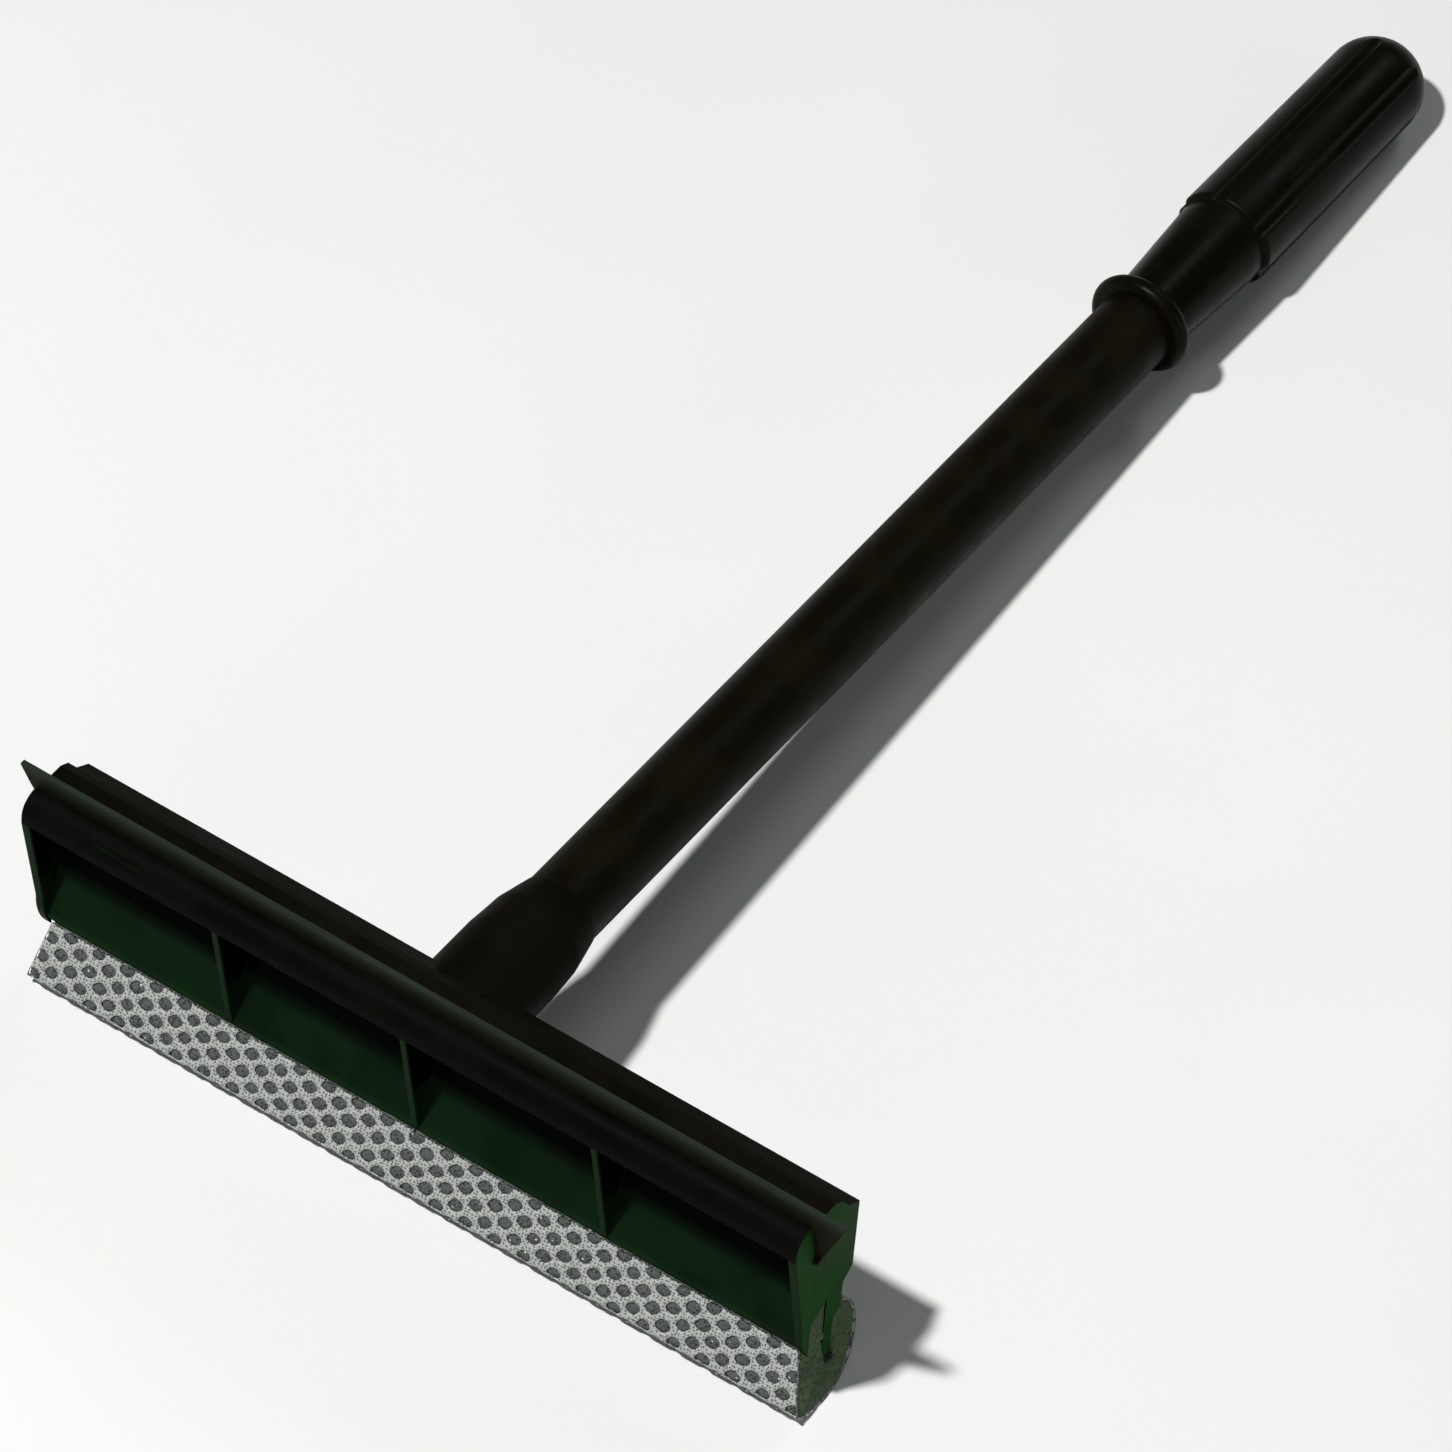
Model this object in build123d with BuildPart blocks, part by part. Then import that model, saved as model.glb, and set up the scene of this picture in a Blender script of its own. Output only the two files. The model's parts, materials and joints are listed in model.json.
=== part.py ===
from build123d import *

import os
from math import atan2, cos, degrees, radians, sin

# Window cleaning squeegee: a moulded head with a rubber blade on its upper side and a
# netted sponge on its lower side, on a straight tubular handle with a fluted grip.
#
# The tool lies as it is laid down: on the sponge and on the end of the grip, blade up.
# Frame: +X along the head, +Y from the head towards the grip, +Z up, and the origin is
# the middle of the footprint, on the surface that the tool lies on. Millimetres.
#
# The head's sections are drawn in a plane square to the blade. In that plane h runs
# along the handle, from the flat back of the head towards the grip, and n runs from the
# handle's axis up towards the blade, so the handle's axis is the line n = 0.

# Head
HEAD_LENGTH = 203.2
BACK_TOP = 9.0
BACK_BOTTOM = -11.6
JAW_TOP = 16.8
LIP_TOP = 17.5
JAW_FRONT = -24.0
JAW_UNDER = 10.6
JAW_NOSE = 12.4
SEAM_H = -15.1
SEAT_FLOOR = 2.4
END_CLOSURE_BOTTOM = -14.5
END_CLOSURE_FOOT = -18.2
TONGUE_FRONT = -9.4
TONGUE_BACK = -6.0
TONGUE_BOTTOM = -36.0
NECK_BACK = -3.3
NECK_TOP = -14.4
NECK_BOTTOM = -22.6
FACE_BOTTOM_H = -16.9
FACE_BOTTOM_N = -24.6
SLOPE_TOP = -4.6
SLOPE_FOOT = (-14.9, -25.1)
END_WALL_ROUND_TOP = -17.5
END_WALL_BOTTOM = -28.3
WALL = 2.0
RIB = 1.5
POCKETS = 4

# Rubber blade, in a channel that leans forward with the face of the head
BLADE_THICKNESS = 1.8
BLADE_TIP_THICKNESS = 1.3
BLADE_BASE_N = 5.0
BLADE_REACH = 18.2
BLADE_TIP_LENGTH = 215.6
BLADE_BASE_LENGTH = 200.8
BLADE_OFFSET = 2.2
BEAD_RADIUS = 1.9
FIT = 0.05

# Sponge and its net
PAD_OFFSET = 1.4
PAD_TOP_HALF = 99.0
PAD_BOTTOM_HALF = 103.4
LEG_TOP = -14.7
LEG_SHORT = 0.1
NET_THICKNESS = 0.6

# Handle
SOCKET_RADIUS = 12.3
SOCKET_CREASE = 25.4
SOCKET_END = 34.0
TUBE_RADIUS = 9.5
TUBE_BORE = 7.7
TUBE_START = 2.4
TUBE_END = 263.6
COLLAR_ROUND = 2.3
COLLAR_RADIUS = 12.9
NECK_RADIUS = 9.6
NECK_END_H = 297.2
NECK_END_RADIUS = 11.3
GRIP_START = 300.8
GRIP_RADIUS = 12.6
GRIP_END_RADIUS = 12.2
GRIP_ROUND = 1.2
DOME_CENTRE = 366.8
LOBES = 6
LOBE_PHASE = 18.0
GROOVE_RADIUS = 3.0
GROOVE_FLOOR = 11.35
SPIGOT_LENGTH = 36.0
SPIGOT_CHAMFER = 1.0

# Resting tilt, from the line that touches the underside of the sponge and of the grip
PAD_REST = (-10.0, -43.9)
TILT = degrees(atan2(-GRIP_END_RADIUS - PAD_REST[1], DOME_CENTRE - PAD_REST[0]))
ALONG = Vector(0, cos(radians(TILT)), -sin(radians(TILT)))
UPRIGHT = Vector(0, sin(radians(TILT)), cos(radians(TILT)))

# The point where the back of the head meets the handle's axis
PAD_FRONT = (-20.9, -39.7)
REACH_BACK = DOME_CENTRE * ALONG.Y + GRIP_END_RADIUS
REACH_FRONT = (PAD_FRONT[0] - NET_THICKNESS) * ALONG.Y + PAD_FRONT[1] * UPRIGHT.Y
HEAD_X = -BLADE_OFFSET
HEAD_Y = -(REACH_BACK + REACH_FRONT) / 2
HEAD_Z = -(PAD_REST[0] * ALONG.Z + PAD_REST[1] * UPRIGHT.Z)
HEAD_LEFT = HEAD_X - HEAD_LENGTH / 2
HEAD_RIGHT = HEAD_X + HEAD_LENGTH / 2
HANDLE_AXIS = Axis((HEAD_X, HEAD_Y, HEAD_Z), tuple(ALONG))

# The face of the head and the blade's channel lean forward by the same angle
LEAN = degrees(atan2(FACE_BOTTOM_H - JAW_FRONT, JAW_UNDER - FACE_BOTTOM_N))


def section_plane(x):
    """Plane square to the head's length at x, with the local axes h and n."""
    return Plane(origin=(x, HEAD_Y, HEAD_Z), x_dir=ALONG, z_dir=(1, 0, 0))


def handle_plane(h):
    """Plane square to the handle's axis at h, facing the grip, with n as its local y."""
    centre = Vector(HEAD_X, HEAD_Y, HEAD_Z) + ALONG * h
    return Plane(origin=centre, x_dir=(-1, 0, 0), z_dir=ALONG)


def front_plane(x, h):
    """Plane at x and h that faces forward, with x and n as its local axes."""
    centre = Vector(x, HEAD_Y, HEAD_Z) + ALONG * h
    return Plane(origin=centre, x_dir=(1, 0, 0), z_dir=ALONG * -1)


def blade_point(reach, side):
    """Point in the section, from a reach up the blade and a distance to its back."""
    h = SEAM_H - reach * sin(radians(LEAN)) + side * cos(radians(LEAN))
    n = BLADE_BASE_N + reach * cos(radians(LEAN)) + side * sin(radians(LEAN))
    return (h, n)


def face_point(n):
    """Point of the head's leaning front face at height n."""
    share = (JAW_UNDER - n) / (JAW_UNDER - FACE_BOTTOM_N)
    return (JAW_FRONT + share * (FACE_BOTTOM_H - JAW_FRONT), n)


def slope_back(n):
    """Point of the back of the sloping pocket wall at height n."""
    share = (SLOPE_TOP - n) / (SLOPE_TOP - SLOPE_FOOT[1])
    return (TONGUE_FRONT + share * (SLOPE_FOOT[0] - TONGUE_FRONT), n)


def save(part, name):
    """Label a finished piece and write it as one STEP file."""
    part.label = name
    export_step(part, f"parts/{name}.step")


os.makedirs("parts", exist_ok=True)

# The channel between the jaws: a slot for the blade and a round seat for its bead
HALF_SLOT = BLADE_THICKNESS / 2 + FIT
SLOT_REACH = BLADE_REACH + 2

with BuildPart() as channel:
    with BuildSketch(section_plane(HEAD_LEFT - 1)):
        with BuildLine():
            Polyline(
                blade_point(0, -HALF_SLOT),
                blade_point(SLOT_REACH, -HALF_SLOT),
                blade_point(SLOT_REACH, HALF_SLOT),
                blade_point(0, HALF_SLOT),
                close=True,
            )
        make_face()
        with Locations(blade_point(0, 0)):
            Circle(BEAD_RADIUS + FIT)
    extrude(amount=HEAD_LENGTH + 2)

# Back body: rear jaw, flat back, clamping tongue and the socket for the handle
REAR_JAW_REACH = (JAW_TOP - BLADE_BASE_N) / cos(radians(LEAN))

with BuildPart() as back_body:
    with BuildSketch(section_plane(HEAD_LEFT)):
        with BuildLine():
            Polyline(
                (0, BACK_TOP),
                (-4.4, 11.5),
                (-7.4, 15.6),
                (-10.2, JAW_TOP + 0.2),
                blade_point(REAR_JAW_REACH, 0),
                blade_point(0, 0),
                (SEAM_H, SEAT_FLOOR),
                (TONGUE_FRONT, SEAT_FLOOR),
                (TONGUE_FRONT, TONGUE_BOTTOM),
                (TONGUE_BACK, TONGUE_BOTTOM),
                (TONGUE_BACK, NECK_BOTTOM - 1.4),
                (NECK_BACK, NECK_BOTTOM),
                (NECK_BACK, NECK_TOP),
                (0, BACK_BOTTOM),
                close=True,
            )
        make_face()
    extrude(amount=HEAD_LENGTH)
    # Closed ends, which meet the end walls of the front frame along the seam
    with BuildSketch(section_plane(HEAD_LEFT), section_plane(HEAD_RIGHT - WALL)):
        with BuildLine():
            Polyline(
                (SEAM_H, SEAT_FLOOR),
                (TONGUE_FRONT, SEAT_FLOOR),
                (TONGUE_FRONT, END_CLOSURE_BOTTOM),
                (SEAM_H, END_CLOSURE_FOOT),
                close=True,
            )
        make_face()
    extrude(amount=WALL)
    # Socket boss, tapering to a thin rim around the tube
    with BuildSketch(section_plane(HEAD_X)):
        with BuildLine():
            Polyline(
                (-5, 0),
                (-5, SOCKET_RADIUS),
                (16, SOCKET_RADIUS),
                (SOCKET_CREASE, 11.7),
                (SOCKET_END, TUBE_RADIUS + 0.4),
                (SOCKET_END, 0),
                close=True,
            )
        make_face()
    revolve(axis=HANDLE_AXIS)
    add(channel.part, mode=Mode.SUBTRACT)
    with BuildSketch(handle_plane(TUBE_START)):
        Circle(TUBE_RADIUS)
    extrude(amount=SOCKET_END, mode=Mode.SUBTRACT)

save(back_body.part, "back_body")

# Front frame: front jaw, sloping pocket wall, end walls and the ribs between pockets
LIP_REACH = (LIP_TOP - BLADE_BASE_N) / cos(radians(LEAN))
INNER_LENGTH = HEAD_LENGTH - 2 * WALL
POCKET_PITCH = INNER_LENGTH / POCKETS
SLOPE_FRONT = TONGUE_FRONT - WALL

with BuildPart() as front_frame:
    with BuildSketch(section_plane(HEAD_LEFT)):
        with BuildLine():
            Polyline(
                (JAW_FRONT, JAW_NOSE),
                (JAW_FRONT, JAW_UNDER),
                (SEAM_H - WALL, SEAT_FLOOR),
                (SEAM_H, SEAT_FLOOR),
                blade_point(0, 0),
                blade_point(LIP_REACH, 0),
                (-20.0, LIP_TOP),
            )
            ThreePointArc((-20.0, LIP_TOP), (-22.9, 15.7), (JAW_FRONT, JAW_NOSE))
        make_face()
    extrude(amount=HEAD_LENGTH)
    with BuildSketch(section_plane(HEAD_LEFT + WALL)):
        with BuildLine():
            Polyline(
                (SEAM_H, SEAT_FLOOR),
                (TONGUE_FRONT, SEAT_FLOOR),
                (TONGUE_FRONT, SLOPE_TOP),
                SLOPE_FOOT,
                (FACE_BOTTOM_H, FACE_BOTTOM_N),
                (SLOPE_FRONT, SLOPE_TOP),
                (SLOPE_FRONT, SEAT_FLOOR - WALL),
                (SEAM_H - WALL, SEAT_FLOOR),
                close=True,
            )
        make_face()
    extrude(amount=INNER_LENGTH)
    with BuildSketch(section_plane(HEAD_LEFT), section_plane(HEAD_RIGHT - WALL)):
        with BuildLine():
            Polyline(
                (SEAM_H, END_WALL_BOTTOM),
                (SEAM_H, SEAT_FLOOR),
                face_point(JAW_UNDER),
                face_point(END_WALL_ROUND_TOP),
            )
            ThreePointArc(
                face_point(END_WALL_ROUND_TOP),
                (-17.2, -24.2),
                (SEAM_H, END_WALL_BOTTOM),
            )
        make_face()
    extrude(amount=WALL)
    for pocket in range(1, POCKETS):
        rib_x = HEAD_LEFT + WALL + pocket * POCKET_PITCH - RIB / 2
        with BuildSketch(section_plane(rib_x)):
            with BuildLine():
                Polyline(
                    face_point(JAW_UNDER),
                    face_point(FACE_BOTTOM_N),
                    (SLOPE_FRONT, SLOPE_TOP),
                    (SLOPE_FRONT, SEAT_FLOOR),
                    (SEAM_H, SEAT_FLOOR),
                    close=True,
                )
            make_face()
        extrude(amount=RIB)
    add(channel.part, mode=Mode.SUBTRACT)

save(front_frame.part, "front_frame")

# Rubber blade: a tapering strip on a round bead, its ends cut on the slant
BLADE_ACROSS = ALONG * cos(radians(LEAN)) + UPRIGHT * sin(radians(LEAN))
BLADE_BASE = Vector(0, HEAD_Y, HEAD_Z) + ALONG * SEAM_H + UPRIGHT * BLADE_BASE_N
BLADE_PLANE = Plane(origin=BLADE_BASE, x_dir=(1, 0, 0), z_dir=BLADE_ACROSS * -1)

with BuildPart() as rubber_blade:
    with BuildSketch(section_plane(-BLADE_TIP_LENGTH / 2)):
        with BuildLine():
            Polyline(
                blade_point(0, -BLADE_THICKNESS / 2),
                blade_point(LIP_REACH, -BLADE_THICKNESS / 2),
                blade_point(BLADE_REACH, -BLADE_TIP_THICKNESS / 2),
                blade_point(BLADE_REACH, BLADE_TIP_THICKNESS / 2),
                blade_point(LIP_REACH, BLADE_THICKNESS / 2),
                blade_point(0, BLADE_THICKNESS / 2),
                close=True,
            )
        make_face()
        with Locations(blade_point(0, 0)):
            Circle(BEAD_RADIUS)
    extrude(amount=BLADE_TIP_LENGTH)
    with BuildSketch(BLADE_PLANE):
        with BuildLine():
            Polyline(
                (BLADE_BASE_LENGTH / 2, -3),
                (BLADE_BASE_LENGTH / 2, 0),
                (BLADE_TIP_LENGTH / 2, BLADE_REACH),
                (BLADE_TIP_LENGTH / 2 + 2, BLADE_REACH),
                (BLADE_TIP_LENGTH / 2 + 2, -3),
                close=True,
            )
        make_face()
        mirror(about=Plane.YZ)
    extrude(amount=5, both=True, mode=Mode.SUBTRACT)

save(rubber_blade.part, "rubber_blade")

# Sponge: wrapped around the tongue, one leg of it clamped behind the front frame
PAD_TOP_N = -24.0
PAD_X = HEAD_X + PAD_OFFSET
PAD_START = section_plane(PAD_X - PAD_BOTTOM_HALF)
TRIM_DEPTH = 20
TRIM_WIDTH = 10


def pad_outline():
    """Outer line of the netted sponge, from under the front frame round to the neck."""
    front = Line((FACE_BOTTOM_H, SLOPE_FOOT[1]), PAD_FRONT)
    corner = ThreePointArc(front @ 1, (-20.4, -41.4), (-18.6, -42.3))
    bottom = ThreePointArc(corner @ 1, (-12.8, -43.2), (-7.6, -42.7))
    back = ThreePointArc(bottom @ 1, (-1.0, -38.6), (2.4, -32.0))
    lobe = ThreePointArc(back @ 1, (1.6, -26.2), (NECK_BACK, NECK_BOTTOM - 0.4))
    return [front, corner, bottom, back, lobe]


with BuildPart() as end_trim:
    with BuildSketch(front_plane(PAD_X, TRIM_DEPTH / 2)):
        with BuildLine():
            Polyline(
                (PAD_TOP_HALF, 0),
                (PAD_TOP_HALF, PAD_TOP_N),
                (PAD_BOTTOM_HALF, PAD_REST[1]),
                (PAD_BOTTOM_HALF + TRIM_WIDTH, PAD_REST[1] - 1),
                (PAD_BOTTOM_HALF + TRIM_WIDTH, 0),
                close=True,
            )
        make_face()
        mirror(about=Plane.YZ)
    extrude(amount=2 * TRIM_DEPTH)

with BuildPart() as scrub_net:
    with BuildSketch(PAD_START):
        with BuildLine():
            pad_outline()
            offset(amount=NET_THICKNESS, side=Side.LEFT)
        make_face()
    extrude(amount=2 * PAD_BOTTOM_HALF)
    add(end_trim.part, mode=Mode.SUBTRACT)
    add(front_frame.part, mode=Mode.SUBTRACT)

save(scrub_net.part, "scrub_net")

with BuildPart() as foam_pad:
    with BuildSketch(PAD_START):
        with BuildLine():
            outline = pad_outline()
            Polyline(
                outline[-1] @ 1,
                (TONGUE_BACK, NECK_BOTTOM - 1.4),
                (TONGUE_BACK, TONGUE_BOTTOM),
                (TONGUE_FRONT, TONGUE_BOTTOM),
                (TONGUE_FRONT, LEG_TOP),
                slope_back(LEG_TOP),
                SLOPE_FOOT,
                outline[0] @ 0,
            )
        make_face()
    extrude(amount=2 * PAD_BOTTOM_HALF)
    add(end_trim.part, mode=Mode.SUBTRACT)
    # The clamped leg runs on to the right end of the head, under the closed end
    with BuildSketch(section_plane(HEAD_RIGHT - WALL)):
        with BuildLine():
            Polyline(
                (SEAM_H, END_CLOSURE_FOOT),
                (TONGUE_FRONT, END_CLOSURE_BOTTOM),
                (TONGUE_FRONT, SLOPE_FOOT[1]),
                (SEAM_H, SLOPE_FOOT[1]),
                close=True,
            )
        make_face()
    extrude(amount=WALL - LEG_SHORT)
    add(front_frame.part, mode=Mode.SUBTRACT)
    add(back_body.part, mode=Mode.SUBTRACT)
    add(scrub_net.part, mode=Mode.SUBTRACT)

save(foam_pad.part, "foam_pad")

# Handle tube, pushed into the socket
with BuildPart() as handle_tube:
    with BuildSketch(handle_plane(TUBE_START)):
        Circle(TUBE_RADIUS)
        Circle(TUBE_BORE, mode=Mode.SUBTRACT)
    extrude(amount=TUBE_END - TUBE_START)

save(handle_tube.part, "handle_tube")

# Hand grip: spigot inside the tube, ring collar, neck and a fluted, domed handle
SPIGOT_START = TUBE_END - SPIGOT_LENGTH
COLLAR_SIDE = COLLAR_RADIUS - COLLAR_ROUND
COLLAR_END = TUBE_END + 2 * COLLAR_ROUND

with BuildPart() as hand_grip:
    with BuildSketch(section_plane(HEAD_X)):
        with BuildLine():
            Polyline(
                (DOME_CENTRE + GRIP_END_RADIUS, 0),
                (SPIGOT_START, 0),
                (SPIGOT_START, TUBE_BORE - SPIGOT_CHAMFER),
                (SPIGOT_START + SPIGOT_CHAMFER, TUBE_BORE),
                (TUBE_END, TUBE_BORE),
                (TUBE_END, COLLAR_SIDE),
            )
            ThreePointArc(
                (TUBE_END, COLLAR_SIDE),
                (TUBE_END + COLLAR_ROUND, COLLAR_RADIUS),
                (COLLAR_END, COLLAR_SIDE),
            )
            Polyline(
                (COLLAR_END, COLLAR_SIDE),
                (COLLAR_END + 1, NECK_RADIUS),
                (NECK_END_H, NECK_END_RADIUS),
                (GRIP_START, NECK_END_RADIUS),
                (GRIP_START, GRIP_RADIUS - GRIP_ROUND),
            )
            RadiusArc(
                (GRIP_START, GRIP_RADIUS - GRIP_ROUND),
                (GRIP_START + GRIP_ROUND, GRIP_RADIUS),
                GRIP_ROUND,
            )
            Line((GRIP_START + GRIP_ROUND, GRIP_RADIUS), (DOME_CENTRE, GRIP_END_RADIUS))
            RadiusArc(
                (DOME_CENTRE, GRIP_END_RADIUS),
                (DOME_CENTRE + GRIP_END_RADIUS, 0),
                GRIP_END_RADIUS,
            )
        make_face()
    revolve(axis=HANDLE_AXIS)
    with BuildSketch(handle_plane(GRIP_START - 1)):
        with PolarLocations(GROOVE_FLOOR + GROOVE_RADIUS, LOBES, 90 + LOBE_PHASE + 180 / LOBES):
            Circle(GROOVE_RADIUS)
    extrude(amount=DOME_CENTRE, mode=Mode.SUBTRACT)

save(hand_grip.part, "hand_grip")
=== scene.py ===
import json
import logging
from dataclasses import dataclass
from enum import Enum
from math import cos, radians, sin

import bmesh
import bpy
import numpy as np
from mathutils import Matrix, Vector


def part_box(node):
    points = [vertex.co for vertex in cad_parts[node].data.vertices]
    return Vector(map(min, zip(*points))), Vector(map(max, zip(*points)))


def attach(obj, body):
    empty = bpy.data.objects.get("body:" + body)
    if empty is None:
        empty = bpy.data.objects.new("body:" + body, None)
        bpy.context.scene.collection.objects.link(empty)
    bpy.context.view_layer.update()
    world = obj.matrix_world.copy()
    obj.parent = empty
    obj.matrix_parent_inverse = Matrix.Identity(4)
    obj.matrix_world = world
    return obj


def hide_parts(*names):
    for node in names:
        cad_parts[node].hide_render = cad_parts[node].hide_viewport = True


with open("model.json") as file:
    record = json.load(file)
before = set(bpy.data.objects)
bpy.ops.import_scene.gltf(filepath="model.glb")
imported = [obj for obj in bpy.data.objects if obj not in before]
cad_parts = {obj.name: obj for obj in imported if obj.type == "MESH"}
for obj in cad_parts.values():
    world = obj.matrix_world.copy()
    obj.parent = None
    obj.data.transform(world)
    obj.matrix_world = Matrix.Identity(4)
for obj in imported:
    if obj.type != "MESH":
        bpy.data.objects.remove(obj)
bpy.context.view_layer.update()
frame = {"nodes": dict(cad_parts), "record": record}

logging.basicConfig(level=logging.INFO, format="%(name)s: %(message)s")
LOG = logging.getLogger("squeegee")

MM = 0.001
SHAFT_STATION = 150.0


class Body(Enum):
    """The rigid body that the new pieces ride on."""

    TOOL = "tool"


class Slot(Enum):
    """The record's material slot names, which the new pieces' finishes share."""

    SPONGE = "sponge_foam"
    NET = "net_nylon"


# ---------------------------------------------------------------- shader graphs


class Graph:
    """A thin wrapper round a node tree, which places nodes and wires their inputs."""

    def __init__(self, tree: bpy.types.NodeTree) -> None:
        """Keep the tree.

        Args:
            tree: the material's or the group's node tree.
        """
        self.tree = tree

    def add(self, kind: str, inputs: dict | None = None, **settings: object) -> bpy.types.Node:
        """Place one node.

        Args:
            kind: the node's type, without the leading "ShaderNode".
            inputs: values or sockets for its inputs, by name or by index.
            settings: the node's own properties.

        Returns:
            The new node.
        """
        node = self.tree.nodes.new("ShaderNode" + kind)
        for name, value in settings.items():
            setattr(node, name, value)
        return self.feed(node, inputs or {})

    def feed(self, node: bpy.types.Node, inputs: dict) -> bpy.types.Node:
        """Set or link a node's inputs.

        Args:
            node: the node.
            inputs: values or sockets, by the input's name or index.

        Returns:
            The same node.
        """
        for key, value in inputs.items():
            if isinstance(value, bpy.types.NodeSocket):
                self.tree.links.new(value, node.inputs[key])
            else:
                node.inputs[key].default_value = value
        return node

    def math(self, operation: str, first: object, second: object = 0.0) -> bpy.types.NodeSocket:
        """Combine two numbers.

        Args:
            operation: the Math node's operation.
            first: a number or a socket.
            second: a number or a socket.

        Returns:
            The result's socket.
        """
        return self.add("Math", {0: first, 1: second}, operation=operation).outputs[0]

    def ramp(self, value: object, low: float, high: float, start: float = 0.0,
             end: float = 1.0) -> bpy.types.NodeSocket:
        """Map a number smoothly from low..high to start..end, held at both ends.

        Args:
            value: the number's socket.
            low: the input that gives start.
            high: the input that gives end.
            start: the output at low.
            end: the output at high.

        Returns:
            The result's socket.
        """
        inputs = {"Value": value, 1: low, 2: high, 3: start, 4: end}
        node = self.add("MapRange", inputs, interpolation_type="SMOOTHSTEP")
        return node.outputs["Result"]

    def blend(self, share: object, first: object, second: object) -> bpy.types.NodeSocket:
        """Mix two colours.

        Args:
            share: how much of the second, from 0 to 1.
            first: a colour or a socket.
            second: a colour or a socket.

        Returns:
            The mixed colour's socket.
        """
        return self.add("Mix", {0: share, 6: first, 7: second}, data_type="RGBA").outputs[2]

    def scaled(self, colour: object, factor: bpy.types.NodeSocket) -> bpy.types.NodeSocket:
        """Multiply a colour by a number.

        Args:
            colour: three numbers or a socket.
            factor: the number's socket.

        Returns:
            The result's socket.
        """
        inputs = {0: colour, "Scale": factor}
        return self.add("VectorMath", inputs, operation="SCALE").outputs["Vector"]

    def group(self, tree: bpy.types.NodeTree, inputs: dict) -> bpy.types.Node:
        """Place a node group with its own values.

        Args:
            tree: the group.
            inputs: values or sockets for its inputs, by name.

        Returns:
            The group's node.
        """
        return self.add("Group", inputs, node_tree=tree)


def open_group(name: str, inputs: dict, outputs: dict) -> tuple[Graph, dict, bpy.types.Node]:
    """Start a shader node group with named inputs and outputs.

    Args:
        name: the group's name.
        inputs: input names and their socket kinds or default numbers.
        outputs: output names and their socket kinds.

    Returns:
        The group's graph, its input sockets by name, and its output node.
    """
    tree = bpy.data.node_groups.new(name, "ShaderNodeTree")
    for key, value in inputs.items():
        kind = value if isinstance(value, str) else "NodeSocketFloat"
        socket = tree.interface.new_socket(key, in_out="INPUT", socket_type=kind)
        if not isinstance(value, str):
            socket.default_value = value
    for key, kind in outputs.items():
        tree.interface.new_socket(key, in_out="OUTPUT", socket_type=kind)
    source = tree.nodes.new("NodeGroupInput")
    result = tree.nodes.new("NodeGroupOutput")
    return Graph(tree), {key: source.outputs[key] for key in inputs}, result


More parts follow.
